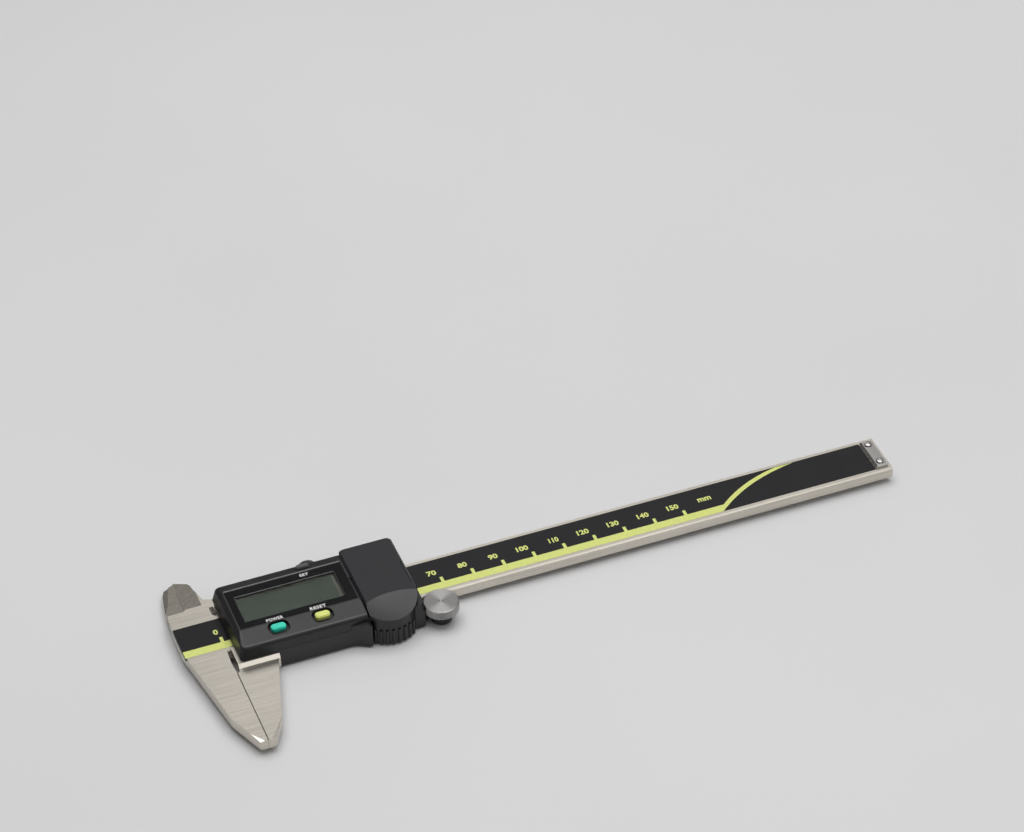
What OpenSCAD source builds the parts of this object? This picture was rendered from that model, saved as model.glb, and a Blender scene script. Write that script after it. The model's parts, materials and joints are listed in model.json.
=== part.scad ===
// Digital caliper, 150 mm range: fixed beam, sliding display unit and thumb roller.
// Design frame: X runs along the beam from the closed outside jaws, Y points from the
// outside jaws to the inside jaws, Z points out of the beam's front face.
// The whole part is then shifted so that its origin is under the middle of its box.

/* [Beam] */
// Width of the beam
beam_w = 16; // [15.6:0.2:16.4]
// Thickness of the beam and of the jaws
beam_t = 3.5; // [3.4:0.1:3.8]
// Reach of the beam to the right of the closed outside jaws
beam_reach = 218.6; // [214:0.2:224]
// Reach of the fixed head to the left of the closed outside jaws
head_reach = 12.6; // [12.4:0.1:13.4]
// Width of the groove that holds the scale
groove_w = 13.2; // [12.8:0.1:13.4]
// Depth of the groove that holds the scale
groove_d = 1; // [0.9:0.1:1.1]
// Chamfer along the front edges of the beam
edge_c = 0.35; // [0.2:0.05:0.5]

/* [Jaws] */
// Depth of the outside jaws below the beam
jaw_depth = 40; // [38:1:42]
// Height of the inside jaws above the beam
blade_height = 19.8; // [19.6:0.1:21]
// Distance of the inside measuring edges left of the outside jaw faces
edge_offset = 6.5; // [6.2:0.1:6.8]
// Width of each outside jaw at its tip
tip_w = 2.4; // [2:0.1:3]

/* [Slider] */
// Height of the slider's rails above the front face of the beam
rail_h = 1; // [0.9:0.1:1.1]
// Thickness of the slider behind the beam
bridge_t = 1.45; // [1.3:0.05:1.6]
// Thickness of the rear cover
cover_t = 0.6; // [0.5:0.1:0.8]
// Running gap between the slider and the beam
slide_gap = 0.05; // [0.04:0.01:0.08]

/* [Housing] */
// Height of the display face above the front face of the beam
face_h = 6.3; // [6.2:0.1:6.6]
// Height of the raised battery end above the display face
panel_rise = 0.8; // [0.7:0.1:1]
// Width of the display window
window_w = 31.6; // [31:0.1:32]
// Height of the display window
window_d = 11.7; // [11.4:0.1:12]
// Travel of each button
press = 0.5; // [0.3:0.1:0.5]

/* [Roller] */
// Diameter of the thumb roller
roller_d = 11; // [10.6:0.1:11]
// Diameter of the roller's pin
pin_d = 2.5; // [2.4:0.1:3]

/* [Lock screw] */
// Diameter of the lock screw's knurled head
knob_d = 6.4; // [6:0.1:6.6]
// Length of the lock screw's knurled head
knob_l = 4.6; // [4:0.1:5]

/* [Hidden] */
$fn = 48;

half = beam_w / 2;
mid_z = -beam_t / 2;
jaw_tip_y = -half - jaw_depth;
blade_tip_y = half + blade_height;
back_z = -beam_t - slide_gap - bridge_t;
bottom_z = back_z - cover_t;
big = 400;

// Origin of the part, in the design frame
origin = [(beam_reach - head_reach) / 2, (jaw_tip_y + blade_tip_y) / 2, bottom_z];

// Head and inside jaws
head_top = half + 6;
head_right = 0.5;
root_r = 1.3;
blade_gap = 0.05;
edge_z = -1.5;
land_x = -1.15;
blade_face_tilt = 10;
blade_side_tilt = 22;
blade_side_turn = 17;
blade_side = [-9.9, 20.6];

// Outside jaws
relief_l = 10.2;
relief_bottom = -half - relief_l;
fixed_relief = 0.3;
jaw_gap = 0.06;
broken_edge = 0.15;
jaw_right = 13.9;

// Scale and end stop
scale_end = beam_reach - 5.2;
stop_w = 4;
stop_l = 12.6;
stop_t = 0.95;
stop_x = beam_reach - 2.8;
stop_screw_y = 4.3;

// Depth bar in its groove along the back of the beam
bar_w = 2;
bar_groove_w = 2.3;
bar_groove_d = 1.6;
bar_x0 = 20;
bar_root = 16;

// Slider frame
frame_x0 = 1.1;
frame_x1 = 58.5;
upper_x0 = 2.3;
lower_out = -13.2;
upper_out = 12.8;
gib_w = 0.5;
gib_y = half + slide_gap;
upper_in = gib_y + gib_w;
lower_in = -half - slide_gap;
gib_screw_x = [14, 49];
arm_x1 = 9;
arm_top = 19;
board_screw_x = [12, 38];
case_screw_x = [6.5, 45];
case_screw_y = 10.6;
cover_screw_x = [11, 41];
cover_screw_y = 11;

// Lock screw
lock_x = 33.8;
lock_shaft_r = 1.5;
lock_tip_y = upper_in + 0.85;
knob_y = 15.6;

// Housing
case_x0 = 2.2;
case_x1 = 60.5;
wall_y0 = -15.3;
wall_y1 = 14.8;
roof_z = 5.3;
shoulder_x0 = 2.8;
shoulder_x1 = 60.1;
shoulder_y0 = -14.8;
shoulder_y1 = 14.3;
shoulder_z = 3.9;
shoulder_r = 1.5;
back_r = 0.5;
face_x0 = 4.4;
face_y0 = -7.8;
face_y1 = 10.8;
panel_x0 = 42.7;
panel_top = face_h + panel_rise;
block_y0 = -14;
block_y1 = 14.5;
skirt_z = back_z + 0.2;
window_x = 23;
window_y = 1.25;
sunk_x0 = 4.8;
sunk_x1 = 42;
sunk_y0 = -7.4;
sunk_y1 = 10.4;
sunk_h = 0.35;

// Buttons
button_y = -9.7;
button_top = face_h - 0.05;
on_off_x = 15.9;
zero_x = 29.7;
origin_x = 30.6;
origin_y = 12.5;
button_size = [4.5, 2.6];
recess_y = -10.2;
recess_size = [6.6, 5];
recess_z = 5.05;
origin_size = [4, 1.8];
button_fit = 0.15;

// Battery and its cover
cell_x = 51.2;
cell_y = -1.6;
cell_r = 5.8;
cell_z0 = 0.85;
cell_h = 5.25;
cover_x0 = panel_x0 - 0.1;
cover_x1 = case_x1 - 1.05;
cover_z = 6.2;
heel_y = -8.8;
heel_z = 4.2;
cover_fit = 0.15;
cover_edge = 0.5;
pad_x = 49.8;
pad_y = -9.9;
pad_r = 9.3;
dish_r = 60;
dish_rim_r = 19.5;
dish_x = 51.3;
dish_y = -28.95;
ribs = 8;
rib_step = 12;
rib_start = -133;
rib_r = 0.5;
rib_top = 0.6;
flare_x0 = 36.8;
flare_x1 = 41.6;
flare_depth = 2.2;
flare_top = 3.1;

// Roller
roller_r = roller_d / 2;
roller_x = 65.75;
roller_y = -half - roller_r - slide_gap;
roller_top = 2;
roller_bottom = -1.2;
bracket_top = -3.3;

module at_origin() {
    translate(-origin) children();
}

// Box from its lowest corner to its highest corner
module box(low, high) {
    translate(low) cube(high - low);
}

// Upright cylinder from height z0 to height z1
module post(x, y, r, z0, z1) {
    translate([x, y, z0]) cylinder(r = r, h = z1 - z0);
}

// Cylinder along Y from y0 to y1
module rod_y(x, z, r, y0, y1) {
    translate([x, y0, z]) rotate([-90, 0, 0]) cylinder(r = r, h = y1 - y0);
}

// Flat outline with round corners, built of true arcs
module round_rect(size, r) {
    square([size.x - 2 * r, size.y], center = true);
    square([size.x, size.y - 2 * r], center = true);
    for (sx = [-1, 1], sy = [-1, 1])
        translate([sx * (size.x / 2 - r), sy * (size.y / 2 - r)]) circle(r = r);
}

// Round-cornered block from z0 to z1
module pad_block(x, y, size, r, z0, z1) {
    translate([x, y, z0]) linear_extrude(z1 - z0) round_rect(size, r);
}

// One layer of a hull: a round-cornered outline at height z
module layer(x0, x1, y0, y1, z, r) {
    translate([0, 0, z]) linear_extrude(0.01)
        translate([(x0 + x1) / 2, (y0 + y1) / 2]) offset(r = r, $fn = 32)
            square([x1 - x0 - 2 * r, y1 - y0 - 2 * r], center = true);
}

// Cross-recessed dome screw: head on plane z, pointing up, with its shaft below
module dome_screw(x, y, z, head_r, head_h, shaft_r, shaft_l) {
    translate([x, y, z]) difference() {
        union() {
            rotate_extrude() polygon([
                [0, 0], [head_r, 0], [head_r, head_h * 0.35], [head_r * 0.85, head_h * 0.75],
                [head_r * 0.55, head_h], [0, head_h]
            ]);
            translate([0, 0, -shaft_l]) cylinder(r = shaft_r, h = shaft_l + 0.01);
        }
        for (a = [0, 90]) rotate([0, 0, a])
            translate([-head_r * 0.62, -head_r * 0.12, head_h * 0.35])
                cube([head_r * 1.24, head_r * 0.24, head_h]);
    }
}

// Flat screw whose head faces down on plane z, with its shaft above
module back_screw(x, y, z, head_r, head_h, shaft_r, shaft_l) {
    translate([x, y, z]) difference() {
        union() {
            cylinder(r = head_r, h = head_h);
            cylinder(r = shaft_r, h = head_h + shaft_l);
        }
        for (a = [0, 90]) rotate([0, 0, a])
            translate([-head_r * 0.6, -head_r * 0.13, -0.01])
                cube([head_r * 1.2, head_r * 0.26, head_h * 0.6]);
    }
}

// Outline of the fixed head, the outside jaw and the beam
module beam_outline() {
    polygon([
        [-head_reach, half - 3], [-head_reach + 0.5, head_top - 0.8],
        [-edge_offset - 0.5, head_top - 0.8],
        [-edge_offset + 0.2, head_top], [head_right, head_top], [head_right, half],
        [beam_reach, half], [beam_reach, -half], [0, -half], [0, jaw_tip_y],
        [-tip_w, jaw_tip_y], [-7.4, jaw_tip_y + 12.5], [-head_reach, -3.2]
    ]);
    difference() {
        translate([head_right, half]) square(root_r);
        translate([head_right + root_r, half + root_r]) circle(r = root_r);
    }
}

// Shallow bow at the top of the fixed jaw's face: a true arc over the length of the relief
module fixed_jaw_bow() {
    r = (relief_l ^ 2 / 4 + fixed_relief ^ 2) / (2 * fixed_relief);
    translate([0, 0, -big / 2]) linear_extrude(big) intersection() {
        translate([r - fixed_relief, relief_bottom + relief_l / 2]) circle(r = r, $fn = 720);
        translate([-1, relief_bottom - 1]) square([1.5, relief_l + 1]);
    }
}

// Relief at the top of the moving jaw's face, with a round lower end
module moving_jaw_relief(depth) {
    translate([0, relief_bottom + depth]) circle(r = depth);
    translate([-depth, relief_bottom + depth]) square([2 * depth, big]);
}

// Groove left by the broken front edges of the two outside jaws where they meet
module contact_groove() {
    width = (broken_edge + jaw_gap / 2) * sqrt(2);
    translate([jaw_gap / 2, jaw_tip_y - 1, 0]) rotate([0, 45, 0])
        translate([-width / 2, 0, -width / 2])
            cube([width, jaw_depth - relief_l + 1, width]);
}

// Chamfer along one front edge of the beam, from x to its end; side is -1 or 1
module beam_chamfer(x, side) {
    width = edge_c * sqrt(2);
    translate([x, side * half, 0]) rotate([45, 0, 0])
        translate([0, -width / 2, -width / 2]) cube([big, width, width]);
}

// Ground face that starts at height z and falls away to the left of a line through point p
module ground_face(p, z, turn, tilt) {
    translate([p.x, p.y, z]) rotate([0, 0, -turn]) rotate([0, -tilt, 0])
        translate([-20, -16, 0]) cube([20, 30, 6]);
}

// Bevel that thins the outer side of a jaw tip, front and back; side is -1 or 1
module tip_bevel(side) {
    for (face = [0, 1]) translate([0, jaw_tip_y, mid_z]) mirror([0, 0, face])
        mirror([side > 0 ? 1 : 0, 0, 0]) translate([-1.1, 0, beam_t / 2])
            rotate([0, 0, 36]) rotate([0, -14, 0]) translate([-20, -12, 0]) cube([20, 30, 6]);
}

// Outline of the fixed inside jaw, above the head
module fixed_blade_outline() {
    polygon([
        [-edge_offset, head_top - 0.01], [-edge_offset, blade_tip_y],
        [-edge_offset + 0.6, blade_tip_y], [-2.5, 25.2], [-1.9, 24], [-1.5, 21.6],
        [-0.5, 17.8], [0.1, 15.6], [head_right, head_top - 0.01]
    ]);
}

module main_beam() {
    color([0.8, 0.78, 0.75]) at_origin() difference() {
        union() {
            translate([0, 0, -beam_t]) linear_extrude(beam_t) beam_outline();
            translate([0, 0, mid_z + blade_gap]) linear_extrude(-mid_z - blade_gap)
                fixed_blade_outline();
        }
        fixed_jaw_bow();
        contact_groove();
        beam_chamfer(0.5, -1);
        beam_chamfer(head_right + root_r, 1);
        // Ground bevel of the inside jaw, from the land down to the measuring edge
        translate([land_x, head_top, 0])
            rotate([0, -atan2(-edge_z, edge_offset + land_x), 0])
                translate([-20, 0, 0]) cube([20, 30, 10]);
        // Groove for the scale
        box([-head_reach - 1, -groove_w / 2, -groove_d], [scale_end + 0.1, groove_w / 2, 1]);
        // Groove for the depth bar
        box([bar_x0 - 6, -bar_groove_w / 2, -beam_t - 1],
            [beam_reach + 1, bar_groove_w / 2, -beam_t + bar_groove_d]);
        // Tapped holes for the end stop
        for (sy = [-1, 1]) post(stop_x, sy * stop_screw_y, 0.8, -2.6, 1);
        tip_bevel(-1);
    }
}

module scale_board() {
    color([0.35, 0.42, 0.3]) at_origin()
        box([-head_reach + 0.1, -groove_w / 2 + 0.1, -groove_d],
            [scale_end, groove_w / 2 - 0.1, -0.2]);
}

module scale_cover() {
    color([0.14, 0.14, 0.16]) at_origin()
        box([-head_reach + 0.05, -groove_w / 2 + 0.05, -0.2],
            [scale_end + 0.05, groove_w / 2 - 0.05, -0.05]);
}

module end_stop_plate() {
    edge = 0.35;
    color([0.82, 0.8, 0.78]) at_origin() difference() {
        intersection() {
            translate([stop_x, stop_l / 2, 0]) rotate([90, 0, 0]) linear_extrude(stop_l)
                polygon([
                    [-stop_w / 2, 0], [stop_w / 2, 0], [stop_w / 2, stop_t - edge],
                    [stop_w / 2 - edge, stop_t], [-stop_w / 2 + edge, stop_t],
                    [-stop_w / 2, stop_t - edge]
                ]);
            translate([stop_x - stop_w / 2, 0, 0]) rotate([90, 0, 90]) linear_extrude(stop_w)
                polygon([
                    [-stop_l / 2, 0], [stop_l / 2, 0], [stop_l / 2, stop_t - edge],
                    [stop_l / 2 - edge, stop_t], [-stop_l / 2 + edge, stop_t],
                    [-stop_l / 2, stop_t - edge]
                ]);
        }
        for (sy = [-1, 1]) post(stop_x, sy * stop_screw_y, 0.85, -1, 2);
    }
}

module end_stop_screws() {
    color([0.75, 0.73, 0.7]) at_origin()
        for (sy = [-1, 1]) dome_screw(stop_x, sy * stop_screw_y, stop_t, 1.25, 0.65, 0.78, 3.2);
}

// Outline of the moving outside jaw
module moving_jaw_outline() {
    difference() {
        polygon([
            [jaw_gap, lower_in], [jaw_right, lower_in], [jaw_right, -14.6],
            [jaw_right - 7.6, -41.2], [tip_w + jaw_gap, jaw_tip_y], [jaw_gap, jaw_tip_y]
        ]);
        translate([jaw_gap, 0]) moving_jaw_relief(frame_x0 - jaw_gap);
    }
}

// Outline of the moving inside jaw and of the arm that carries it past the head
module moving_blade_outline() {
    polygon([
        [-edge_offset, blade_tip_y], [-edge_offset - 3, blade_tip_y - 0.5],
        [-edge_offset - 3.9, blade_tip_y - 2.4], [-head_reach + 0.9, 18],
        [-head_reach + 0.3, head_top - 0.7], [-edge_offset - 0.7, head_top - 0.7],
        [-edge_offset, head_top + 0.1], [upper_x0 + 0.01, head_top + 0.1],
        [upper_x0 + 0.01, upper_out - 1], [arm_x1, upper_out - 1], [arm_x1, arm_top - 3],
        [2, arm_top - 1.4], [-2, arm_top], [-edge_offset, arm_top + 0.6]
    ]);
}

module slider_frame() {
    color([0.8, 0.78, 0.75]) at_origin() difference() {
        union() {
            translate([0, 0, -beam_t]) linear_extrude(beam_t) moving_jaw_outline();
            // Lower rail, with its bevelled step down to the jaw
            box([frame_x0, lower_out, back_z], [frame_x1, lower_in, rail_h]);
            translate([frame_x0, 0, 0]) rotate([90, 0, 90]) linear_extrude(jaw_right - frame_x0)
                polygon([
                    [lower_out + 1, back_z], [lower_out + 1, rail_h], [-15.7, rail_h],
                    [-16.75, 0], [-16.75, back_z + 1.5], [-15.3, back_z]
                ]);
            // Upper rail
            box([upper_x0, upper_in, back_z], [frame_x1, upper_out, rail_h]);
            // Bridge behind the beam
            box([upper_x0, lower_in - 1, back_z], [frame_x1, upper_in + 1, back_z + bridge_t]);
            // Inside jaw
            translate([0, 0, -beam_t]) linear_extrude(beam_t / 2 - blade_gap)
                moving_blade_outline();
        }
        contact_groove();
        // Ground front face of the inside jaw, and the steeper bevel on its outer side
        ground_face([-edge_offset, blade_side.y], mid_z - blade_gap, 0, blade_face_tilt);
        ground_face(blade_side,
            mid_z - blade_gap + (blade_side.x + edge_offset) * tan(blade_face_tilt),
            blade_side_turn, blade_side_tilt);
        // Holes for the screws
        for (x = gib_screw_x) rod_y(x, mid_z, 1, upper_in - 1, upper_out + 1);
        rod_y(lock_x, mid_z, lock_shaft_r + slide_gap, upper_in - 1, upper_out + 1);
        for (x = case_screw_x, sy = [-1, 1]) post(x, sy * case_screw_y, 0.85, back_z - 1, 2);
        for (x = board_screw_x, sy = [-1, 1]) post(x, sy * 10.4, 0.6, -1.2, 2);
        for (x = cover_screw_x, sy = [-1, 1])
            post(x, sy * cover_screw_y, 0.7, back_z - 1, back_z + 2);
        for (x = [24, 32]) post(x, 0, 0.65, back_z - 1, back_z + 3);
        // Seat for the roller bracket
        box([49.9, -12.6, back_z - 1], [frame_x1 + 1, lower_in - 0.9, bracket_top + 0.02]);
        post(54, -10.6, 0.75, back_z, 0);
        tip_bevel(1);
    }
}

module gib_strip() {
    color([0.72, 0.5, 0.25]) at_origin()
        box([4, gib_y, -beam_t + 0.1], [57, gib_y + gib_w, -0.1]);
}

module gib_screws() {
    color([0.5, 0.5, 0.52]) at_origin() for (x = gib_screw_x) difference() {
        rod_y(x, mid_z, 0.98, upper_in, upper_out - 0.4);
        box([x - 2, upper_out - 1, mid_z - 0.2], [x + 2, upper_out + 1, mid_z + 0.2]);
    }
}

module clamp_pad() {
    color([0.78, 0.62, 0.3]) at_origin()
        rod_y(lock_x, mid_z, lock_shaft_r - 0.05, upper_in, lock_tip_y - 0.08);
}

module depth_bar() {
    z0 = -beam_t + 0.12;
    z1 = -beam_t + bar_groove_d - 0.12;
    color([0.78, 0.76, 0.73]) at_origin() difference() {
        union() {
            box([bar_x0, -bar_w / 2, z0], [beam_reach - 0.05, bar_w / 2, z1]);
            box([bar_x0, -bar_w / 2, -beam_t - slide_gap], [bar_x0 + bar_root, bar_w / 2, z1]);
        }
        box([beam_reach - 3.2, 0.1, z0 - 1], [beam_reach + 1, 2, z1 + 1]);
        for (x = [24, 32]) post(x, 0, 0.6, -beam_t - 1, z1 - 0.3);
    }
}

module depth_bar_screws() {
    color([0.6, 0.6, 0.6]) at_origin() for (x = [24, 32])
        post(x, 0, 0.58, back_z + 0.1, -beam_t + 1);
}

module rear_cover() {
    color([0.1, 0.1, 0.11]) at_origin() difference() {
        pad_block((case_x0 + frame_x1) / 2 + 0.6, -0.2, [frame_x1 - 3.4, 26.4], 1.5,
            bottom_z, back_z);
        for (x = cover_screw_x, sy = [-1, 1])
            post(x, sy * cover_screw_y, 1.5, bottom_z - 1, back_z + 1);
        for (x = case_screw_x, sy = [-1, 1])
            post(x, sy * case_screw_y, 1.45, back_z - 0.35, back_z + 1);
        post(54, -10.6, 1.6, back_z - 0.35, back_z + 1);
    }
}

module rear_cover_screws() {
    color([0.55, 0.55, 0.57]) at_origin() for (x = cover_screw_x, sy = [-1, 1])
        back_screw(x, sy * cover_screw_y, bottom_z + 0.06, 1.4,
            cover_t - 0.08, 0.68, 1.6);
}

// One layer of the rounded shoulder: broad along the front, tight along the back and ends
module shoulder_layer(turn) {
    inset = 1 - cos(turn);
    layer(shoulder_x0 + back_r * inset, shoulder_x1 - back_r * inset,
        shoulder_y0 + shoulder_r * inset, shoulder_y1 - back_r * inset,
        shoulder_z + shoulder_r * sin(turn), 1.6);
}

// Raised battery end: its upper part is the battery cover, the rest is the housing
module raised_block() {
    hull() {
        layer(panel_x0 + 0.3, case_x1 - 0.7, block_y0 - 0.5, block_y1, 4, 1.4);
        layer(cover_x0, cover_x1, block_y0, block_y1, panel_top - cover_edge, 1.6);
        layer(cover_x0 + cover_edge, cover_x1 - cover_edge, block_y0 + cover_edge,
            block_y1 - cover_edge, panel_top - 0.01, 1.5);
    }
}

// Solid body of the housing before it is hollowed
module housing_solid() {
    hull() {
        layer(case_x0, case_x1, wall_y0, wall_y1, rail_h, 1.2);
        for (turn = [0 : 15 : 90]) shoulder_layer(turn);
        layer(face_x0, case_x1 - 1.2, face_y0, face_y1, face_h - 0.01, 0.6);
    }
    raised_block();
    // Flare that curves out into the thumb rest
    translate([0, 0, skirt_z]) linear_extrude(flare_top - skirt_z) polygon([
        [flare_x0, wall_y0 + 2],
        for (t = [0 : 0.125 : 1])
            [flare_x0 + (flare_x1 - flare_x0) * t, wall_y0 + 0.01 - flare_depth * t ^ 1.4],
        [flare_x1 + 1, wall_y0 - flare_depth], [flare_x1 + 1, wall_y0 + 2]
    ]);
    // Flat that the thumb rest leans on
    box([42.5, wall_y0, rail_h], [case_x1 - 1.5, wall_y0 + 3, heel_z - 0.1]);
}

module housing() {
    color([0.16, 0.16, 0.18]) at_origin() difference() {
        union() {
            housing_solid();
            // Skirts beside the rails
            box([jaw_right + 0.3, wall_y0, skirt_z], [case_x1, lower_out - 0.1, rail_h + 0.5]);
            box([arm_x1 + 0.3, upper_out + 0.1, skirt_z], [case_x1, wall_y1, rail_h + 0.5]);
            // Ends across the beam
            for (x = [case_x0, case_x1 - 0.9])
                box([x, -half - 0.2, 0.25], [x + 0.9, half + 0.2, rail_h + 0.5]);
            // Floor of the battery pocket
            box([panel_x0, -half + 0.1, 0.3], [case_x1 - 0.5, half - 0.1, rail_h + 0.5]);
        }
        // Room for the electronics
        difference() {
            union() {
                box([3.6, -12.9, rail_h], [panel_x0 - 0.6, 12.9, 4.3]);
                box([5.4, -7.3, rail_h], [panel_x0 - 0.6, 9.4, roof_z]);
                box([case_x0 + 0.9, -half - 0.1, -1], [panel_x0, half + 0.1, rail_h + 0.2]);
            }
            for (sy = [-1, 1]) post(case_screw_x[0], sy * case_screw_y, 1.9, rail_h, 5);
        }
        // Room for the origin button's flange and its tab of the board
        box([origin_x - 3.3, 11, rail_h], [origin_x + 3.3, origin_y + 1.3, 4.3]);
        // Sunken face and the opening under it
        translate([0, 0, face_h - sunk_h]) linear_extrude(2)
            translate([(sunk_x0 + sunk_x1) / 2, (sunk_y0 + sunk_y1) / 2])
                round_rect([sunk_x1 - sunk_x0, sunk_y1 - sunk_y0], 0.5);
        translate([0, 0, roof_z - 1]) linear_extrude(3)
            translate([window_x, window_y]) square([window_w + 1, window_d + 1], center = true);
        // Recesses and openings for the buttons
        for (x = [on_off_x, zero_x]) {
            pad_block(x, recess_y, recess_size, 2, recess_z, 9);
            pad_block(x, button_y, button_size + 2 * [button_fit, button_fit], 1.1, 3, 9);
        }
        pad_block(origin_x, origin_y, origin_size + 2 * [button_fit, button_fit], 0.9, 3, 9);
        // Battery pocket and the seat of its cover
        post(cell_x, cell_y, cell_r + 0.2, 0.65, 9);
        box([cover_x0 - 2 * cover_fit, heel_y - 1, cover_z], [big, big, 9]);
        box([cover_x0 - 2 * cover_fit, -30, heel_z - 0.1], [big, heel_y + cover_fit, 9]);
        // Groove beside the raised end
        box([cover_x0 - 0.6, heel_y, face_h - 0.5], [cover_x0, 2.2, 9]);
        // Seat of the side contact
        box([50, 4.3, 0.65], [53, 5.3, 5.9]);
        // Way for the lock screw
        rod_y(lock_x, mid_z, lock_shaft_r + 0.4, upper_out - 1, wall_y1 + 1);
        box([lock_x - lock_shaft_r - 0.4, upper_out - 1, skirt_z - 1],
            [lock_x + lock_shaft_r + 0.4, wall_y1 + 1, mid_z]);
        // Clearance round the roller
        post(roller_x, roller_y, roller_r + 0.5, -9, roller_top + 0.5);
        // Holes for the case screws
        for (x = case_screw_x, sy = [-1, 1]) post(x, sy * case_screw_y, 0.75, -1, 3.6);
    }
}

module housing_screws() {
    color([0.6, 0.6, 0.6]) at_origin() for (x = case_screw_x, sy = [-1, 1])
        back_screw(x, sy * case_screw_y, back_z - 0.3, 1.35, 0.3, 0.73, 8.2);
}

module face_panel() {
    color([0.11, 0.11, 0.12]) at_origin() difference() {
        translate([0, 0, face_h - sunk_h]) linear_extrude(0.12)
            translate([(sunk_x0 + sunk_x1) / 2, (sunk_y0 + sunk_y1) / 2])
                round_rect([sunk_x1 - sunk_x0 - 0.1, sunk_y1 - sunk_y0 - 0.1], 0.45);
        translate([0, 0, face_h - 2]) linear_extrude(3)
            translate([window_x, window_y]) round_rect([window_w, window_d], 0.4);
    }
}

module lcd_window() {
    color([0.75, 0.8, 0.78]) at_origin()
        pad_block(window_x, window_y, [window_w + 0.9, window_d + 0.9], 0.5,
            roof_z + 0.05, face_h - sunk_h - 0.01);
}

module lcd_panel() {
    color([0.33, 0.38, 0.34]) at_origin()
        box([window_x - 16.6, window_y - 6.8, 3.7], [window_x + 16.6, window_y + 6.8, 4.95]);
}

module lcd_connectors() {
    color([0.7, 0.7, 0.68]) at_origin() for (y = [window_y - 6.2, window_y + 5])
        box([8, y, rail_h + 0.8], [36, y + 1.2, 3.7]);
}

module circuit_board() {
    color([0.1, 0.35, 0.2]) at_origin() difference() {
        union() {
            box([3.8, -12.6, rail_h], [panel_x0 - 0.8, 12.6, rail_h + 0.8]);
            box([origin_x - 3, 10, rail_h], [origin_x + 3, origin_y + 1.1, rail_h + 0.8]);
        }
        for (sy = [-1, 1]) post(case_screw_x[0], sy * case_screw_y, 2.1, 0, 4);
        for (x = board_screw_x, sy = [-1, 1]) post(x, sy * 10.4, 0.65, 0, 4);
    }
}

module board_screws() {
    color([0.65, 0.65, 0.65]) at_origin() for (x = board_screw_x, sy = [-1, 1])
        dome_screw(x, sy * 10.4, rail_h + 0.8, 1, 0.5, 0.58, 1.9);
}

module controller_chip() {
    color([0.06, 0.06, 0.06]) at_origin()
        box([25, -3, rail_h + 0.8], [32, 4, rail_h + 1.9]);
}

module reader_plate() {
    color([0.25, 0.4, 0.28]) at_origin()
        box([5, -7.6, 0.3], [41, 7.6, rail_h]);
}

module button_domes() {
    color([0.55, 0.55, 0.55]) at_origin() for (p = [
        [on_off_x, button_y], [zero_x, button_y], [origin_x, origin_y]
    ]) translate([p.x, p.y, rail_h + 0.8])
        rotate_extrude() polygon([[0, 0], [1.4, 0], [1, 0.5], [0, 0.5]]);
}

module battery() {
    color([0.75, 0.75, 0.75]) at_origin() translate([cell_x, cell_y, cell_z0])
        rotate_extrude() polygon([
            [0, 0], [4.6, 0], [4.9, 0.3], [4.9, 0.6], [cell_r - 0.3, 0.7], [cell_r, 1],
            [cell_r, cell_h - 0.3], [cell_r - 0.3, cell_h], [0, cell_h]
        ]);
}

module battery_contact_base() {
    color([0.8, 0.7, 0.4]) at_origin() {
        post(cell_x, cell_y, 3, 0.66, 0.84);
        box([cell_x - 5.6, cell_y - 0.8, 0.66], [cell_x, cell_y + 0.8, 0.84]);
    }
}

module battery_contact_side() {
    color([0.8, 0.7, 0.4]) at_origin()
        box([50.2, 4.5, 0.8], [52.8, 4.9, 5.6]);
}

module dust_wipers() {
    color([0.2, 0.2, 0.2]) at_origin() for (x = [3.3, 41.2])
        box([x, -6.3, 0.05], [x + 0.9, 6.3, rail_h]);
}

// Outline of the thumb rest, in plan, with a changed radius
module rest_outline(grow) {
    intersection() {
        translate([pad_x, pad_y]) circle(r = pad_r + grow, $fn = 96);
        translate([cover_x0, -25]) square([cover_x1 - cover_x0, 25]);
    }
}

// Shallow hollow for the thumb
module dish() {
    translate([dish_x, dish_y, panel_top + sqrt(dish_r ^ 2 - dish_rim_r ^ 2)])
        sphere(r = dish_r, $fn = 128);
}

module thumb_rest() {
    r = pad_r - 0.35;
    color([0.13, 0.13, 0.14]) at_origin() {
        translate([0, 0, skirt_z]) linear_extrude(heel_z - 0.25 - skirt_z) intersection() {
            rest_outline(-0.35);
            translate([0, wall_y0 - 0.03 - big]) square(big);
        }
        // Ribs down the lower part of the curved wall
        for (i = [0 : ribs - 1]) {
            a = rib_start + i * rib_step;
            post(pad_x + r * cos(a), pad_y + r * sin(a), rib_r, skirt_z, rib_top);
        }
    }
}

module roller_bracket() {
    color([0.12, 0.12, 0.13]) at_origin() difference() {
        union() {
            box([50, -12.5, back_z], [roller_x, lower_in - 1, bracket_top]);
            post(roller_x, roller_y, 3.2, back_z, bracket_top);
            post(roller_x, roller_y, 2, back_z, roller_bottom - 0.08);
        }
        post(roller_x, roller_y, pin_d / 2, back_z - 1, 1);
        post(54, -10.6, 0.85, back_z - 1, 0);
    }
}

module bracket_screw() {
    color([0.6, 0.6, 0.6]) at_origin() back_screw(54, -10.6, back_z - 0.3, 1.5, 0.3, 0.72, 4.6);
}

module roller_pin() {
    color([0.7, 0.7, 0.7]) at_origin()
        post(roller_x, roller_y, pin_d / 2 - 0.01, back_z + 0.1, 1);
}

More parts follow.
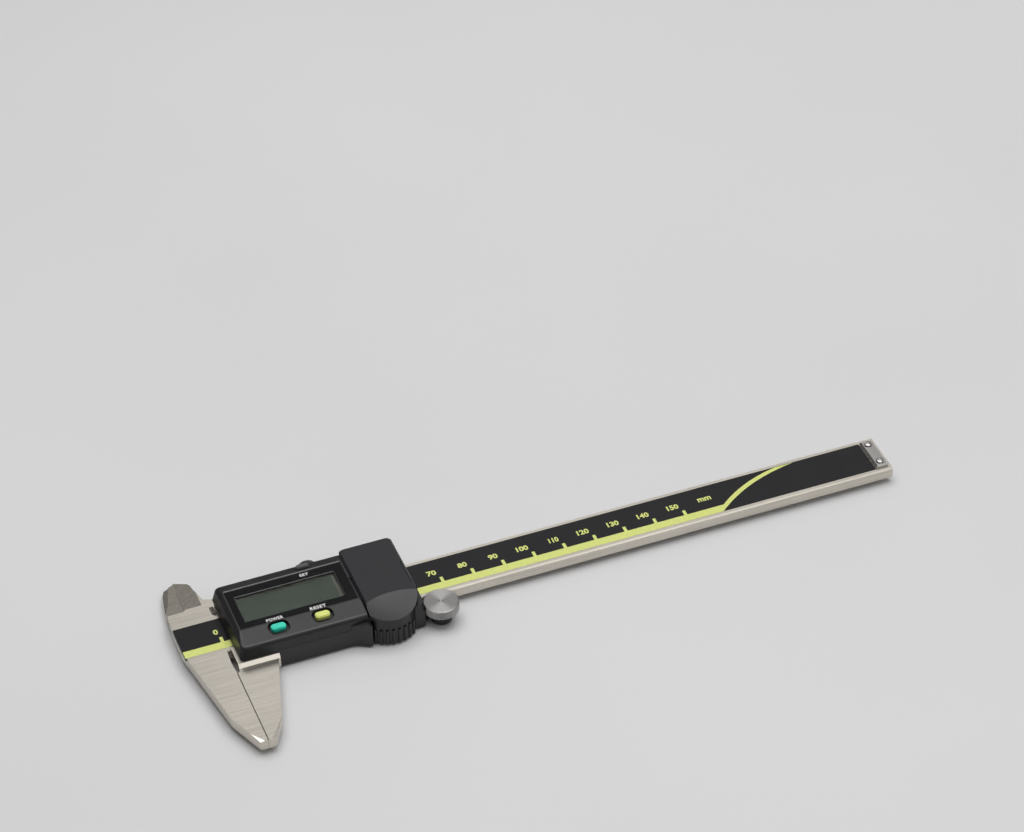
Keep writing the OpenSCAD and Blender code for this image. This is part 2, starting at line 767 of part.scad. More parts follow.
module thumb_roller() {
    c = 0.35;
    color([0.85, 0.84, 0.82]) at_origin() difference() {
        translate([roller_x, roller_y, 0]) rotate_extrude($fn = 96) polygon([
            [0, roller_bottom], [roller_r - c, roller_bottom], [roller_r, roller_bottom + c],
            [roller_r, roller_top - c], [roller_r - c, roller_top], [0.6, roller_top],
            [0, roller_top - 0.3]
        ]);
        post(roller_x, roller_y, pin_d / 2 + slide_gap, roller_bottom - 1, 1.1);
    }
}

module lock_screw() {
    c = 0.4;
    color([0.2, 0.2, 0.21]) at_origin() translate([lock_x, 0, mid_z]) rotate([-90, 0, 0])
        rotate_extrude() polygon([
            [0, lock_tip_y], [lock_shaft_r, lock_tip_y], [lock_shaft_r, knob_y],
            [knob_d / 2 - c, knob_y], [knob_d / 2, knob_y + c],
            [knob_d / 2, knob_y + knob_l - c], [knob_d / 2 - c, knob_y + knob_l],
            [1.2, knob_y + knob_l], [1, knob_y + knob_l - 0.3], [0, knob_y + knob_l - 0.3]
        ]);
}

// Push button: cap through the housing, flange under its skin and a stem below
module push_button(x, y, size, r, top, flange_z) {
    pad_block(x, y, size, r, flange_z - 0.01, top - 0.3);
    pad_block(x, y, size - [0.5, 0.5], r - 0.2, flange_z, top);
    pad_block(x, y, size + [0.9, 0.5], r, flange_z - 0.6, flange_z - 0.05);
    post(x, y, 0.9, rail_h + 0.8 + 0.5 + press + 0.1, flange_z);
}

module on_off_button() {
    color([0.15, 0.75, 0.62]) at_origin()
        push_button(on_off_x, button_y, button_size, 1, button_top, 4.2);
}

module zero_button() {
    color([0.8, 0.84, 0.25]) at_origin()
        push_button(zero_x, button_y, button_size, 1, button_top, 4.2);
}

module origin_button() {
    color([0.2, 0.2, 0.21]) at_origin()
        push_button(origin_x, origin_y, origin_size, 0.8, face_h + 0.3, 4.2);
}

module battery_cover() {
    color([0.2, 0.2, 0.22]) at_origin() difference() {
        union() {
            // Lid over the battery
            intersection() {
                raised_block();
                box([0, pad_y, cover_z + cover_fit], [big, big, 9]);
            }
            // Thumb pad
            intersection() {
                union() {
                    translate([0, 0, cover_z + cover_fit]) linear_extrude(2) rest_outline(0);
                    translate([0, 0, heel_z]) linear_extrude(4) intersection() {
                        rest_outline(0);
                        translate([0, heel_y - big]) square(big);
                    }
                }
                translate([0, pad_y + 1, 0]) rotate([90, 0, 0]) linear_extrude(40) polygon([
                    [cover_x0, 0], [cover_x1, 0], [cover_x1, panel_top - cover_edge],
                    [cover_x1 - cover_edge, panel_top], [cover_x0 + cover_edge, panel_top],
                    [cover_x0, panel_top - cover_edge]
                ]);
            }
        }
        dish();
        // Finger groove near the right edge
        box([cover_x1 - 1.1, heel_y + 1, panel_top - 0.25], [cover_x1 - 0.7, 2.2, 9]);
    }
}

main_beam();
scale_board();
scale_cover();
end_stop_plate();
end_stop_screws();
slider_frame();
gib_strip();
gib_screws();
clamp_pad();
depth_bar();
depth_bar_screws();
rear_cover();
rear_cover_screws();
housing();
housing_screws();
face_panel();
lcd_window();
lcd_panel();
lcd_connectors();
circuit_board();
board_screws();
controller_chip();
reader_plate();
button_domes();
battery();
battery_contact_base();
battery_contact_side();
dust_wipers();
thumb_rest();
roller_bracket();
bracket_screw();
roller_pin();
thumb_roller();
lock_screw();
on_off_button();
zero_button();
origin_button();
battery_cover();
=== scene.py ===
"""Looks of a digital caliper: steel beam and jaws, printed scale, moulded display housing."""

import json
import math

import bmesh
import bpy
from mathutils import Matrix, Vector


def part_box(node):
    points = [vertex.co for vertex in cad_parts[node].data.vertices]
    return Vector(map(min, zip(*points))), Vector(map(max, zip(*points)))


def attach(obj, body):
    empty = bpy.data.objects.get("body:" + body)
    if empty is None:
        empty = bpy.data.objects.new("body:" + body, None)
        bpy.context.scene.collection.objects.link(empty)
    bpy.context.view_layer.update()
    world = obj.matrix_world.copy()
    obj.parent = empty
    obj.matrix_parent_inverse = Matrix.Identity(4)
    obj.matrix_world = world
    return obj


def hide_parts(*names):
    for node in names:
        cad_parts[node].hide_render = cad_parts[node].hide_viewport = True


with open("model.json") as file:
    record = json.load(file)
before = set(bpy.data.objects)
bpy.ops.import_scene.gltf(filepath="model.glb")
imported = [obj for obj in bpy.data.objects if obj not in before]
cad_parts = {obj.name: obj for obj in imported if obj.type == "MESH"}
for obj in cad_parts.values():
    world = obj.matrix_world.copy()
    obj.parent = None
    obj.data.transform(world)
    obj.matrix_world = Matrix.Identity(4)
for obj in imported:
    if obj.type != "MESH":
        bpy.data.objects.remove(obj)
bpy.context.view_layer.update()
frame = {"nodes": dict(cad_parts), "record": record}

MM = 0.001
MOUNTS = {m["name"]: Vector(m["pos_m"]) for m in frame["record"]["mounts"]}

# Places taken from the frame: closed jaws, beam centre line, front face of the beam
COVER_LOW, COVER_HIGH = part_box("scale_cover")
JAW_X = MOUNTS["outside_jaw_fixed"].x
BEAM_Y = (COVER_LOW.y + COVER_HIGH.y) / 2
BEAM_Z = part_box("main_beam")[1].z
PRINT = 0.02  # thickness of a printed marking, in millimetres
LIFT = 0.002  # keeps a thin layer off the face it lies on, in millimetres


def place(x, y, z):
    """A point given in millimetres from the closed jaws, the centre line and the beam's face."""
    return Vector((JAW_X + x * MM, BEAM_Y + y * MM, BEAM_Z + z * MM))


# ---------------------------------------------------------------- node helpers


class Nodes:
    """Short calls that build one material's node tree."""

    def __init__(self, name):
        self.material = bpy.data.materials.new(name)
        self.material.use_nodes = True
        self.tree = self.material.node_tree
        self.tree.nodes.clear()
        self.shader = self.add("ShaderNodeBsdfPrincipled")
        output = self.add("ShaderNodeOutputMaterial")
        self.link(self.shader.outputs["BSDF"], output.inputs["Surface"])
        self.space = self.add("ShaderNodeTexCoord").outputs["Object"]

    def add(self, kind, **settings):
        node = self.tree.nodes.new(kind)
        for key, value in settings.items():
            setattr(node, key, value)
        return node

    def link(self, source, target):
        self.tree.links.new(source, target)

    def feed(self, socket, value):
        """Sets a socket to a number or colour, or links an output to it."""
        if isinstance(value, bpy.types.NodeSocket):
            self.link(value, socket)
        else:
            socket.default_value = value

    def set(self, **values):
        """Inputs of the main shader, such as Roughness or Base_Color."""
        for key, value in values.items():
            self.feed(self.shader.inputs[key.replace("_", " ")], value)

    def stretched(self, scale, turn=0.0):
        """Object coordinates in metres, scaled along each axis and turned about Z."""
        mapping = self.add("ShaderNodeMapping")
        mapping.inputs["Scale"].default_value = scale
        mapping.inputs["Rotation"].default_value = (0, 0, turn)
        self.link(self.space, mapping.inputs["Vector"])
        return mapping.outputs["Vector"]

    def noise(self, scale, detail=3.0, vector=None, roughness=0.5):
        node = self.add("ShaderNodeTexNoise")
        self.link(vector or self.space, node.inputs["Vector"])
        node.inputs["Scale"].default_value = scale
        node.inputs["Detail"].default_value = detail
        node.inputs["Roughness"].default_value = roughness
        return node.outputs["Fac"]

    def range(self, value, low, high, start=0.3, stop=0.7):
        """Maps value from start..stop to low..high."""
        node = self.add("ShaderNodeMapRange")
        self.feed(node.inputs["Value"], value)
        node.inputs["From Min"].default_value = start
        node.inputs["From Max"].default_value = stop
        node.inputs["To Min"].default_value = low
        node.inputs["To Max"].default_value = high
        return node.outputs["Result"]

    def ramp(self, value, first, second, start=0.35, stop=0.65):
        node = self.add("ShaderNodeValToRGB")
        self.feed(node.inputs["Fac"], value)
        points = node.color_ramp.elements
        points[0].position, points[0].color = start, (*first, 1)
        points[1].position, points[1].color = stop, (*second, 1)
        return node.outputs["Color"]

    def mix_of(self, first, second, share):
        """Adds share of the second value to the rest of the first."""
        node = self.add("ShaderNodeMix", data_type="FLOAT")
        node.inputs["Factor"].default_value = share
        self.link(first, node.inputs["A"])
        self.link(second, node.inputs["B"])
        return node.outputs["Result"]

    def bump(self, height, strength, distance):
        """Fine surface relief."""
        node = self.add("ShaderNodeBump")
        node.inputs["Strength"].default_value = strength
        node.inputs["Distance"].default_value = distance
        self.feed(node.inputs["Height"], height)
        self.link(node.outputs["Normal"], self.shader.inputs["Normal"])


def shaded(tone, factor):
    """A colour made darker or lighter, kept within white."""
    return tuple(min(1.0, channel * factor) for channel in tone)


def steel(name, tone, along="x", roughness=(0.2, 0.27), lines=0.3):
    """Ground steel with fine grinding lines along one axis, in broad and narrow streaks."""
    n = Nodes(name)
    fine = (110, 7000, 7000) if along == "x" else (7000, 110, 7000)
    coarse = (32, 2300, 2300) if along == "x" else (2300, 32, 2300)
    grind = n.noise(1.0, 3.0, n.stretched(fine), 0.6)
    bands = n.noise(1.0, 4.0, n.stretched(coarse), 0.7)
    cloud = n.noise(45.0, 3.0)
    shade = n.mix_of(n.mix_of(cloud, bands, 0.75), grind, 0.25)
    n.set(Base_Color=n.ramp(shade, shaded(tone, 0.87), shaded(tone, 1.12), 0.4, 0.6), Metallic=1.0)
    n.set(Roughness=n.range(n.mix_of(bands, grind, 0.5), *roughness, start=0.35, stop=0.65))
    n.bump(n.mix_of(bands, grind, 0.85), lines, 0.000003)
    return n.material


def plastic(name, tone, roughness, grain=5200.0, strength=0.25, shine=0.3, coat=0.0):
    """Moulded plastic with a fine spark-eroded grain and slight uneven polish."""
    n = Nodes(name)
    worn = n.noise(120.0, 4.0)
    n.set(Base_Color=n.ramp(worn, shaded(tone, 0.85), shaded(tone, 1.15), 0.3, 0.7))
    n.set(Roughness=n.range(worn, roughness - 0.04, roughness + 0.05))
    n.set(Coat_Weight=coat, Coat_Roughness=0.12, Specular_IOR_Level=shine)
    n.bump(n.noise(grain, 2.0), strength, 0.00002)
    return n.material


def printed(name, tone):
    """Silk-screened ink: nearly flat, with a slightly uneven film."""
    n = Nodes(name)
    film = n.noise(900.0, 3.0)
    n.set(Base_Color=n.ramp(film, shaded(tone, 0.94), tone))
    n.set(Roughness=n.range(film, 0.4, 0.5), Specular_IOR_Level=0.3)
    n.bump(film, 0.15, 0.00001)
    return n.material


def polished(name, tone, roughness=0.12):
    """Plated or bright metal with faint swirls."""
    n = Nodes(name)
    swirl = n.noise(700.0, 5.0, roughness=0.7)
    n.set(Base_Color=n.ramp(swirl, shaded(tone, 0.9), tone), Metallic=1.0)
    n.set(Roughness=n.range(swirl, roughness * 0.8, roughness * 1.6))
    n.bump(swirl, 0.1, 0.00001)
    return n.material


def turned(name, tone, centre):
    """Lathe-turned steel: fine rings about an upright axis through centre."""
    n = Nodes(name)
    shift = n.add("ShaderNodeMapping", vector_type="POINT")
    shift.inputs["Location"].default_value = (-centre.x, -centre.y, 0)
    shift.inputs["Scale"].default_value = (1, 1, 0)
    n.link(n.space, shift.inputs["Vector"])
    radius = n.add("ShaderNodeVectorMath", operation="LENGTH")
    n.link(shift.outputs["Vector"], radius.inputs[0])
    grooves = n.add("ShaderNodeTexNoise", noise_dimensions="1D")
    n.link(radius.outputs["Value"], grooves.inputs["W"])
    grooves.inputs["Scale"].default_value = 6000.0
    grooves.inputs["Detail"].default_value = 2.0
    n.set(Base_Color=n.ramp(grooves.outputs["Fac"], shaded(tone, 0.82), tone), Metallic=1.0)
    n.set(Roughness=0.34, Anisotropic=0.85, Anisotropic_Rotation=0.25)
    tangent = n.add("ShaderNodeTangent", direction_type="RADIAL", axis="Z")
    n.link(tangent.outputs["Tangent"], n.shader.inputs["Tangent"])
    n.bump(grooves.outputs["Fac"], 0.2, 0.000006)
    return n.material


def glass_sheet(name):
    """Clear hard-coated window."""
    n = Nodes(name)
    smear = n.noise(60.0, 4.0)
    n.set(Base_Color=(0.93, 0.96, 0.94, 1), Transmission_Weight=1.0, IOR=1.16)
    n.set(Roughness=n.range(smear, 0.02, 0.07))
    n.bump(smear, 0.04, 0.00002)
    return n.material


def display(name, tone):
    """Blank reflective display layer: matt film with a faint grain."""
    n = Nodes(name)
    film = n.noise(45.0, 3.0)
    n.set(Base_Color=n.ramp(film, shaded(tone, 0.88), shaded(tone, 1.12), 0.3, 0.7))
    n.set(Roughness=0.45, Specular_IOR_Level=0.3)
    n.bump(n.noise(7000.0, 1.0), 0.1, 0.00001)
    return n.material


ROLLER_LOW, ROLLER_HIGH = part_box("thumb_roller")
ROLLER_CENTRE = (ROLLER_LOW + ROLLER_HIGH) / 2

WARM_STEEL = (0.63, 0.59, 0.52)
MATERIALS = {
    "jaw_steel": steel("jaw steel", WARM_STEEL),
    "bright_steel": steel("bright steel", (0.39, 0.38, 0.37), "y", (0.18, 0.25)),
    "roller_steel": turned("turned steel", (0.43, 0.42, 0.41), ROLLER_CENTRE),
    "screw_steel": polished("plated screw", (0.66, 0.64, 0.62), 0.16),
    "cell_steel": polished("cell can", (0.75, 0.75, 0.75), 0.2),
    "brass": polished("brass strip", (0.72, 0.53, 0.22), 0.25),
    "scale_black": plastic("scale laminate", (0.006, 0.006, 0.008), 0.3, 3000.0, 0.08, 0.3),
    "panel_black": plastic("face panel", (0.006, 0.006, 0.007), 0.27, 3600.0, 0.08, 0.1),
    "housing_black": plastic("housing", (0.0095, 0.0095, 0.011), 0.33, shine=0.55),
    "cover_black": plastic("battery cover", (0.0095, 0.0095, 0.0125), 0.36, shine=0.5),
    "rear_black": plastic("rear cover", (0.012, 0.012, 0.013), 0.45, 4200.0, 0.2),
    "knob_black": plastic("black oxide", (0.05, 0.05, 0.052), 0.3, 2600.0, 0.2, 0.8),
    "chip_black": plastic("chip", (0.012, 0.012, 0.012), 0.5),
    "board_green": plastic("solder resist", (0.02, 0.09, 0.045), 0.3, 1800.0, 0.1, 0.5),
    "window_clear": glass_sheet("window"),
    "display_grey": display("display glass", (0.12, 0.115, 0.095)),
    "button_teal": plastic("teal key", (0.04, 0.8, 0.58), 0.3, 3000.0, 0.08, 0.5, 0.2),
    "button_lime": plastic("lime key", (0.8, 0.88, 0.24), 0.3, 3000.0, 0.08, 0.5, 0.2),
    "button_black": plastic("black key", (0.085, 0.085, 0.09), 0.34, shine=0.6),
    "rubber_black": plastic("black rubber", (0.015, 0.015, 0.015), 0.6),
    "rubber_grey": plastic("grey rubber", (0.12, 0.12, 0.12), 0.6),
    "print_white": printed("white print", (0.97, 0.97, 0.96)),
    "print_lime": printed("lime print", (0.76, 0.82, 0.25)),
}
FILM = display("display film", (0.052, 0.063, 0.051))
# Glossy coated plastic for the rim fillets. Its base colour is painted about three times lighter
# than the housing as a painted highlight.
EDGE_GLOSS_AND_PAINTED_HIGHLIGHT = plastic("polished edge with painted highlight", (0.03, 0.03, 0.032), 0.2, 2600.0, 0.05, 1.0, 0.8)


# ---------------------------------------------------------------- mesh helpers


def finish_piece(obj, body, slot_name, nodes=()):
    """Gives a piece its material, its CAD body and the CAD nodes it stands for."""
    obj.data.materials.clear()
    obj.data.materials.append(MATERIALS[slot_name])
    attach(obj, body)
    if nodes:
        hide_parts(*nodes)
    return obj


def new_object(name, mesh_builder):
    """An object whose mesh is filled by mesh_builder(bm)."""
    mesh = bpy.data.meshes.new(name)
    bm = bmesh.new()
    mesh_builder(bm)
    bm.normal_update()
    bm.to_mesh(mesh)
    bm.free()
    obj = bpy.data.objects.new(name, mesh)
    bpy.context.collection.objects.link(obj)
    return obj


def prism(bm, outline, low, high):
    """A closed prism over a plan outline in place() millimetres, from height low to high."""
    bottom = [bm.verts.new(place(x, y, low)) for x, y in outline]
    top = [bm.verts.new(place(x, y, high)) for x, y in outline]
    count = len(outline)
    bm.faces.new(list(reversed(bottom)))
    bm.faces.new(top)
    for i in range(count):
        j = (i + 1) % count
        bm.faces.new((bottom[i], bottom[j], top[j], top[i]))


def smooth(obj, angle=35):
    """Smooth shading that keeps edges sharper than angle."""
    obj.data.polygons.foreach_set("use_smooth", [True] * len(obj.data.polygons))
    obj.data.set_sharp_from_angle(angle=math.radians(angle))
    obj.data.update()


def bezier(start, middle, end, count):
    """Points of a quadratic Bezier curve."""
    points = []
    for i in range(count + 1):
        t = i / count
        a, b, c = (1 - t) ** 2, 2 * t * (1 - t), t * t
        points.append(tuple(a * p + b * q + c * r for p, q, r in zip(start, middle, end)))
    return points


CAP_HEIGHT = 0.729  # height of a capital, in font sizes


def lettering(name, text, left, right, base, height, z, body, slot_name, weight=0.0, gap=1.0):
    """Printed characters between two places along X, standing on the line y = base."""
    curve = bpy.data.curves.new(name, "FONT")
    curve.body = text
    curve.size = height * MM / CAP_HEIGHT
    curve.offset = weight * MM
    curve.space_character = gap
    curve.extrude = PRINT * MM / 2
    curve.resolution_u = 3
    maker = bpy.data.objects.new(name + "_curve", curve)
    bpy.context.collection.objects.link(maker)
    bpy.context.view_layer.update()
    mesh = bpy.data.meshes.new_from_object(maker)
    bpy.data.objects.remove(maker)
    mesh.name = name
    across = [v.co.x for v in mesh.vertices]
    wide = (right - left) * MM / (max(across) - min(across))
    mesh.transform(Matrix.Diagonal((wide, 1, 1, 1)))
    mesh.transform(Matrix.Translation(place(left, base, z) - Vector((min(across) * wide, 0, 0))))
    obj = bpy.data.objects.new(name, mesh)
    bpy.context.collection.objects.link(obj)
    return finish_piece(obj, body, slot_name)


def lathe(bm, profile, steps, spot, teeth=0, lobes=0):
    """A closed turned shape. Each row of the profile is radius, height, knurl and lobe depth;
    spot(across, up, height) gives the point for two distances from the axis and one along it."""
    rings = []
    for radius, height, knurl, lobe in profile:
        circle = []
        for k in range(steps):
            angle = 2 * math.pi * k / steps
            r = radius
            if knurl:
                r -= knurl * (0.5 + 0.5 * math.cos(teeth * angle)) ** 2
            if lobe:
                r *= 1 - lobe * (1 - abs(math.cos(lobes * angle / 2)) ** 3)
            circle.append(bm.verts.new(spot(r * math.cos(angle), r * math.sin(angle), height)))
        rings.append(circle)
    for a, b in zip(rings, rings[1:]):
        for k in range(steps):
            j = (k + 1) % steps
            bm.faces.new((a[k], a[j], b[j], b[k]))
    bm.faces.new(list(reversed(rings[0])))
    bm.faces.new(rings[-1])
    bmesh.ops.recalc_face_normals(bm, faces=bm.faces)


# ---------------------------------------------------------------- carried-over CAD nodes


def dress_cad_nodes():
    """Every CAD node takes the material of its record slot."""
    for part in frame["record"]["subparts"]:
        node = frame["nodes"][part["node"]]
        node.data.materials.clear()
        node.data.materials.append(MATERIALS[part["material_slot"]])


# ---------------------------------------------------------------- scale

BAND_TOP = -3.6
BAND_LOW = -6.5
BAND_LEFT = (COVER_LOW.x - JAW_X) / MM + 0.1
PLATE_TOP = 6.45
SCALE_LENGTH = 150
SCALE_Z = (COVER_HIGH.z - BEAM_Z) / MM
TICK_WIDTH = 1.0
TICK_TOP = -1.45
NUMBER_BASE = 0.15
NUMBER_HEIGHT = 2.05
DIGIT_WIDTH = 1.5
NUMBER_GAP = 0.65  # from a number's right edge to its mark
ZERO_SHIFT = 0.6  # the 0 stands nearer to its mark
NUMBER_WEIGHT = 0.11
NARROW_ONE = 0.45  # how much less room a 1 takes, as a share of a digit
CURVE_STEPS = 18


def make_scale():
    """The lime band that sweeps up at its end, the centimetre marks and the numerals."""
    low, high = SCALE_Z + LIFT, SCALE_Z + PRINT
    low_end, high_end = (161.4, BAND_LOW), (162.7, BAND_TOP)
    lower = bezier(low_end, (173.75, 4.14), (190.9, PLATE_TOP), CURVE_STEPS)
    upper = bezier(high_end, (172, 4.15), (184.5, PLATE_TOP), CURVE_STEPS)

    def band(bm):
        prism(bm, [(BAND_LEFT, BAND_LOW), low_end, high_end, (BAND_LEFT, BAND_TOP)], low, high)
        prism(bm, [*lower, *reversed(upper)], low, high)

    finish_piece(new_object("scale_band", band), "beam", "print_lime")

    def ticks(bm):
        for x in range(0, SCALE_LENGTH + 1, 10):
            left, right = x - TICK_WIDTH / 2, x + TICK_WIDTH / 2
            prism(bm, [(left, BAND_TOP - 0.1), (right, BAND_TOP - 0.1),
                       (right, TICK_TOP), (left, TICK_TOP)], low, high + LIFT)

    finish_piece(new_object("scale_ticks", ticks), "beam", "print_lime")
    for x in range(0, SCALE_LENGTH + 1, 10):
        text = str(x)
        right = x - NUMBER_GAP + (0 if x else ZERO_SHIFT)
        width = DIGIT_WIDTH * (len(text) - NARROW_ONE * text.count("1"))
        lettering(f"scale_number_{x}", text, right - width, right, NUMBER_BASE, NUMBER_HEIGHT,
                  high, "beam", "print_lime", NUMBER_WEIGHT)
    lettering("scale_unit", "mm", 155.9, 160.3, 0.3, 2.3, high, "beam", "print_lime",
              NUMBER_WEIGHT)


# ---------------------------------------------------------------- turned parts


def upright(centre):
    """A lathe whose axis stands on centre, with heights along Z in millimetres from the beam."""
    return lambda across, up, height: Vector((centre.x + across * MM, centre.y + up * MM,
                                              BEAM_Z + height * MM))


def make_roller():
    """Thumb roller with a knurled rim, a chamfered edge and a small centre mark."""
    top = (ROLLER_HIGH.z - BEAM_Z) / MM
    bottom = (ROLLER_LOW.z - BEAM_Z) / MM
    radius = (ROLLER_HIGH.x - ROLLER_LOW.x) / 2 / MM
    chamfer = 0.35
    knurl = 0.2
    teeth = 60
    bore = 1.35
    mark = 0.5
    mark_depth = 0.3
    profile = [
        (bore, bottom + 0.2, 0, 0), (bore, bottom, 0, 0), (radius - chamfer, bottom, 0, 0),
        (radius, bottom + chamfer, knurl, 0), (radius, top - chamfer, knurl, 0),
        (radius - 0.1, top - 0.12, knurl / 2, 0), (radius - chamfer, top, 0, 0),
        (radius - 1.2, top, 0, 0), (mark, top, 0, 0),
        (0.3, top - 0.2, 0, 0), (0.05, top - mark_depth, 0, 0),
    ]
    roller = new_object("roller_finished", lambda bm: lathe(
        bm, profile, teeth * 6, upright(ROLLER_CENTRE), teeth))
    smooth(roller, 22)
    return finish_piece(roller, "roller", "roller_steel", ("thumb_roller",))


def make_lock_screw():
    """Locking thumbscrew with a coarse straight knurl on its head."""
    low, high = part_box("lock_screw")
    radius = (high.x - low.x) / 2 / MM
    axis = (low + high) / 2
    tip = 0
    end = (high.y - low.y) / MM
    head = end - 4.6
    shaft = 1.5
    chamfer = 0.5
    knurl = 0.28
    teeth = 26
    profile = [
        (0.9, tip, 0, 0), (shaft, tip + chamfer, 0, 0), (shaft, head, 0, 0),
        (radius - chamfer, head, 0, 0), (radius, head + chamfer, knurl, 0),
        (radius, end - chamfer, knurl, 0),
        (radius - 0.25, end - 0.15, knurl / 2, 0), (radius - chamfer, end, 0, 0),
        (1.3, end, 0, 0), (1.0, end - 0.25, 0, 0),
    ]
    screw = new_object("lock_screw_finished", lambda bm: lathe(
        bm, profile, teeth * 6,
        lambda across, up, along: Vector((axis.x + across * MM, low.y + along * MM,
                                          axis.z + up * MM)), teeth))
    smooth(screw, 25)
    return finish_piece(screw, "lock", "knob_black", ("lock_screw",))


def make_end_screws():
    """The two cross-recessed dome screws of the end stop."""
    low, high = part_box("end_stop_screws")
    top = (high.z - BEAM_Z) / MM
    seat = (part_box("end_stop_plate")[1].z - BEAM_Z) / MM
    foot = (low.z - BEAM_Z) / MM
    head = (high.x - low.x) / 2 / MM
    middle = (low.x + high.x) / 2
    shank = 0.78
    under = seat - 0.02
    cross = 0.62  # depth of the cross between its four arms
    profile = [
        (0.5, foot, 0, 0), (shank, foot + 0.3, 0, 0), (shank, under, 0, 0),
        (head, under, 0, 0), (head, seat + 0.22, 0, 0), (head * 0.94, seat + 0.4, 0, 0),
        (head * 0.8, top - 0.1, 0, 0), (head * 0.68, top - 0.02, 0, 0.1),
        (head * 0.6, top, 0, cross), (head * 0.5, top - 0.3, 0, cross),
        (head * 0.1, top - 0.42, 0, 0),
    ]

    def both(bm):
        for y in (low.y + head * MM, high.y - head * MM):
            lathe(bm, profile, 48, upright(Vector((middle, y, 0))), 0, 4)

    screws = new_object("end_stop_screws_finished", both)
    smooth(screws, 30)
    return finish_piece(screws, "beam", "screw_steel", ("end_stop_screws",))


# ---------------------------------------------------------------- display housing


MASK_MARGINS = (0.75, 0.75, 0.9, 0.55)  # left, right, bottom and top, inside the display glass
FILM_MARGINS = (0.15, 1.3, 0.1, 0.9)  # the same, inside the mask's opening
LAYER_LOW = 0.005  # heights above the display glass
FILM_HIGH = 0.03
MASK_HIGH = 0.05
RIM_GAP = 0.005  # between a rim and the wall it lines
PANEL_RIM_HEIGHT = 0.22


def inside(box, margins):
    """A rectangle given as left, right, bottom and top, drawn in by a margin on each side."""
    left, right, bottom, top = box
    from_left, from_right, from_bottom, from_top = margins
    return left + from_left, right - from_right, bottom + from_bottom, top - from_top


def corners(box, grow=0.0):
    """Plan corners of a rectangle given as left, right, bottom and top, made larger."""
    left, right, bottom, top = box
    return [(left - grow, bottom - grow), (right + grow, bottom - grow),
            (right + grow, top + grow), (left - grow, top + grow)]


def around(box, grow, z):
    """The same corners as points at height z."""
    return [place(x, y, z) for x, y in corners(box, grow)]


def ring(bm, loops):
    """A closed frame skinned between rectangular loops of four corners, the last to the first."""
    rows = [[bm.verts.new(corner) for corner in loop] for loop in loops]
    for a, b in zip(rows, [*rows[1:], rows[0]]):
        for i in range(4):
            j = (i + 1) % 4
            bm.faces.new((a[i], a[j], b[j], b[i]))
    bmesh.ops.recalc_face_normals(bm, faces=bm.faces)


def plan_box(node, inset=0.0):
    """Left, right, bottom and top of a node in place() millimetres, and its highest z."""
    low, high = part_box(node)
    sides = ((low.x - JAW_X) / MM + inset, (high.x - JAW_X) / MM - inset,
             (low.y - BEAM_Y) / MM + inset, (high.y - BEAM_Y) / MM - inset)
    return sides, (high.z - BEAM_Z) / MM


def make_display():
    """The green film on the display glass and the dark mask round it."""
    glass_box, glass = plan_box("lcd_panel", 0.05)
    view = inside(glass_box, MASK_MARGINS)
    mask = new_object("display_mask", lambda bm: ring(bm, [
        around(glass_box, 0, glass + LAYER_LOW), around(glass_box, 0, glass + MASK_HIGH),
        around(view, 0, glass + MASK_HIGH), around(view, 0, glass + LAYER_LOW)]))
    finish_piece(mask, "slider", "panel_black")
    outline = corners(inside(view, FILM_MARGINS))
    film = new_object("display_film", lambda bm: prism(
        bm, outline, glass + LAYER_LOW, glass + FILM_HIGH))
    finish_piece(film, "slider", "display_grey")
    film.data.materials[0] = FILM


def rim(name, box, foot, shoulder, bevel, drop, reach):
    """A small polished fillet that lines the wall of a sunken rectangle."""
    obj = new_object(name, lambda bm: ring(bm, [
        around(box, -RIM_GAP, foot), around(box, -RIM_GAP, shoulder),
        around(box, -bevel, shoulder - drop), around(box, -reach, foot)]))
    finish_piece(obj, "slider", "housing_black")
    # The fillet reflects the lamps in its gloss, and its lighter base colour is a painted
    # highlight.
    obj.data.materials[0] = EDGE_GLOSS_AND_PAINTED_HIGHLIGHT


def make_rims():
    """The fillets round the sunken panel and round the window: they catch the light in their
    gloss, and their lighter colour is a painted highlight.
    """
    panel_box, panel = plan_box("face_panel", -0.05)
    rim("panel_rim", panel_box, panel + LIFT, panel + PANEL_RIM_HEIGHT, 0.1, 0.03, 0.26)
    glass_box, glass = plan_box("lcd_window", 0.45)
    rim("window_rim", glass_box, glass + LIFT, panel - RIM_GAP, 0.08, 0.015, 0.22)


# Name, word, left, right, base line and height of each label
LABELS = (
    ("label_on_off", "POWER", 13.2, 18.4, -7.0, 1.3),
    ("label_zero", "RESET", 26.9, 31.9, -7.0, 1.3),
    ("label_origin", "SET", 28.6, 31.3, 8.3, 1.15),
)
LABEL_WEIGHT = 0.035
LABEL_SPACING = 1.1


def make_labels():
    """Generic words printed beside the keys."""
    z = (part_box("face_panel")[1].z - BEAM_Z) / MM + PRINT / 2 + LIFT
    for name, text, left, right, base, height in LABELS:
        lettering(name, text, left, right, base, height, z, "slider", "print_white",
                  LABEL_WEIGHT, LABEL_SPACING)


# ---------------------------------------------------------------- camera, light, floor


def make_camera():
    """Camera at the photograph's viewing angle, placed by its target, direction and distance."""
    azimuth, elevation, roll = math.radians(-19.93), math.radians(39.75), math.radians(-1.63)
    distance, field = 1.1159, math.radians(16.72)
    target = Vector((0.01432, 0.07163, BEAM_Z))
    back = Vector((math.sin(azimuth) * math.cos(elevation),
                   -math.cos(azimuth) * math.cos(elevation), math.sin(elevation)))
    data = bpy.data.cameras.new("camera")
    data.sensor_width = 36
    data.lens = data.sensor_width / 2 / math.tan(field / 2)
    data.clip_start, data.clip_end = 0.01, 20
    camera = bpy.data.objects.new("camera", data)
    bpy.context.collection.objects.link(camera)
    turn = (-back).to_track_quat("-Z", "Y").to_matrix() @ Matrix.Rotation(roll, 3, "Z")
    camera.matrix_world = Matrix.Translation(target + back * distance) @ turn.to_4x4()
    bpy.context.scene.camera = camera


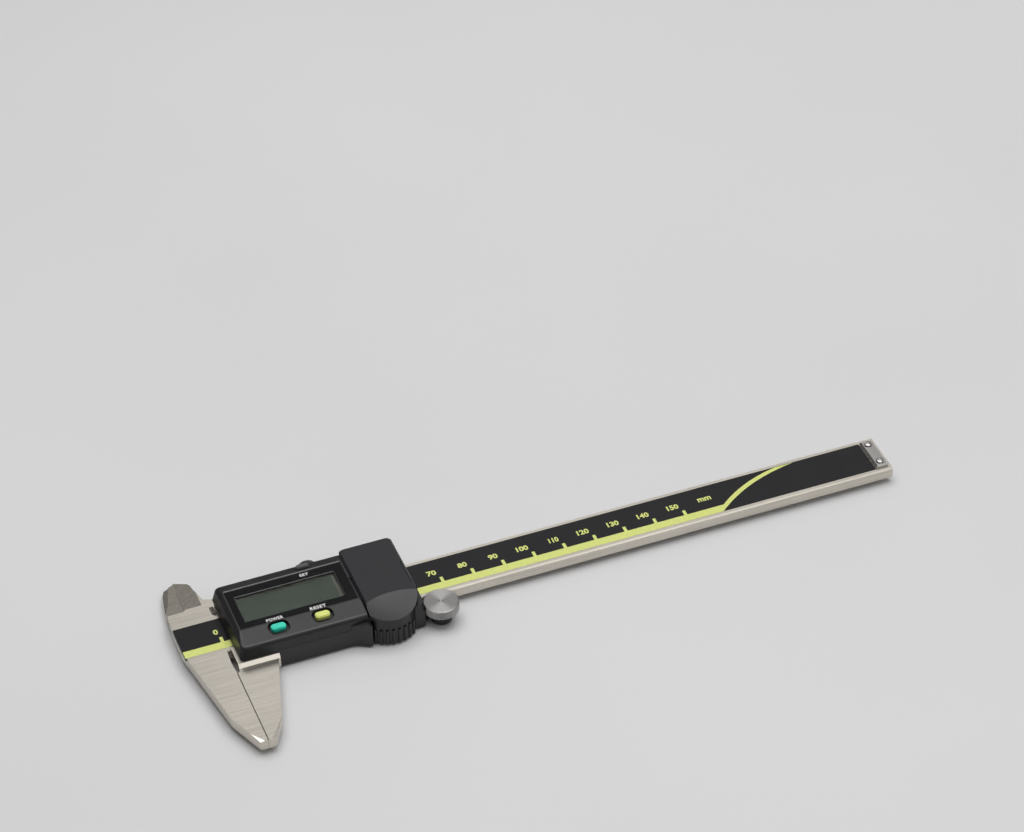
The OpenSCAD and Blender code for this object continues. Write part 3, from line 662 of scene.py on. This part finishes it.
def softbox(name, direction, distance, size, radiance):
    """A soft rectangular light that faces the object from a direction."""
    data = bpy.data.lights.new(name, "AREA")
    data.shape = "RECTANGLE"
    data.size, data.size_y = size
    data.energy = radiance * math.pi * size[0] * size[1]
    light = bpy.data.objects.new(name, data)
    bpy.context.collection.objects.link(light)
    away = Vector(direction).normalized()
    light.location = away * distance
    light.rotation_euler = away.to_track_quat("Z", "Y").to_euler()


def make_sky():
    """An even studio dome, dim at the horizon and brighter overhead."""
    world = bpy.data.worlds.new("studio")
    world.use_nodes = True
    tree = world.node_tree
    place_in_sky = tree.nodes.new("ShaderNodeTexCoord")
    axes = tree.nodes.new("ShaderNodeSeparateXYZ")
    ramp = tree.nodes.new("ShaderNodeValToRGB")
    points = ramp.color_ramp.elements
    points[0].position, points[0].color = 0.05, (0.1, 0.1, 0.104, 1)
    points[1].position, points[1].color = 0.95, (0.34, 0.335, 0.33, 1)
    tree.links.new(place_in_sky.outputs["Generated"], axes.inputs["Vector"])
    tree.links.new(axes.outputs["Z"], ramp.inputs["Fac"])
    tree.links.new(ramp.outputs["Color"], tree.nodes["Background"].inputs["Color"])
    bpy.context.scene.world = world


# Name, direction, distance, size and radiance of each light, in metres
SOFTBOXES = (
    ("overhead", (0.05, 0.1, 1.0), 1.25, (1.3, 0.9), 2.9),
    ("behind", (0.283, 0.695, 0.661), 1.48, (0.74, 0.5), 0.62),
    ("front", (0.26, -0.6, 0.74), 1.3, (0.7, 0.45), 1.2),
)
FLOOR_REACH = 3  # from the origin to each side of the floor, in metres


def make_stage():
    """Pale floor and three soft lights."""
    def sheet(bm):
        square = corners((-FLOOR_REACH, FLOOR_REACH, -FLOOR_REACH, FLOOR_REACH))
        bm.faces.new([bm.verts.new((x, y, 0)) for x, y in square])

    floor = new_object("floor", sheet)
    n = Nodes("pale floor")
    n.set(Base_Color=n.ramp(n.noise(3.0), (0.74, 0.74, 0.745), (0.78, 0.78, 0.785)))
    n.set(Roughness=0.85, Specular_IOR_Level=0.2)
    floor.data.materials.append(n.material)
    for light in SOFTBOXES:
        softbox(*light)
    bpy.context.scene.view_settings.view_transform = "Standard"


dress_cad_nodes()
make_scale()
make_roller()
make_lock_screw()
make_end_screws()
make_display()
make_rims()
make_labels()
make_camera()
make_sky()
make_stage()
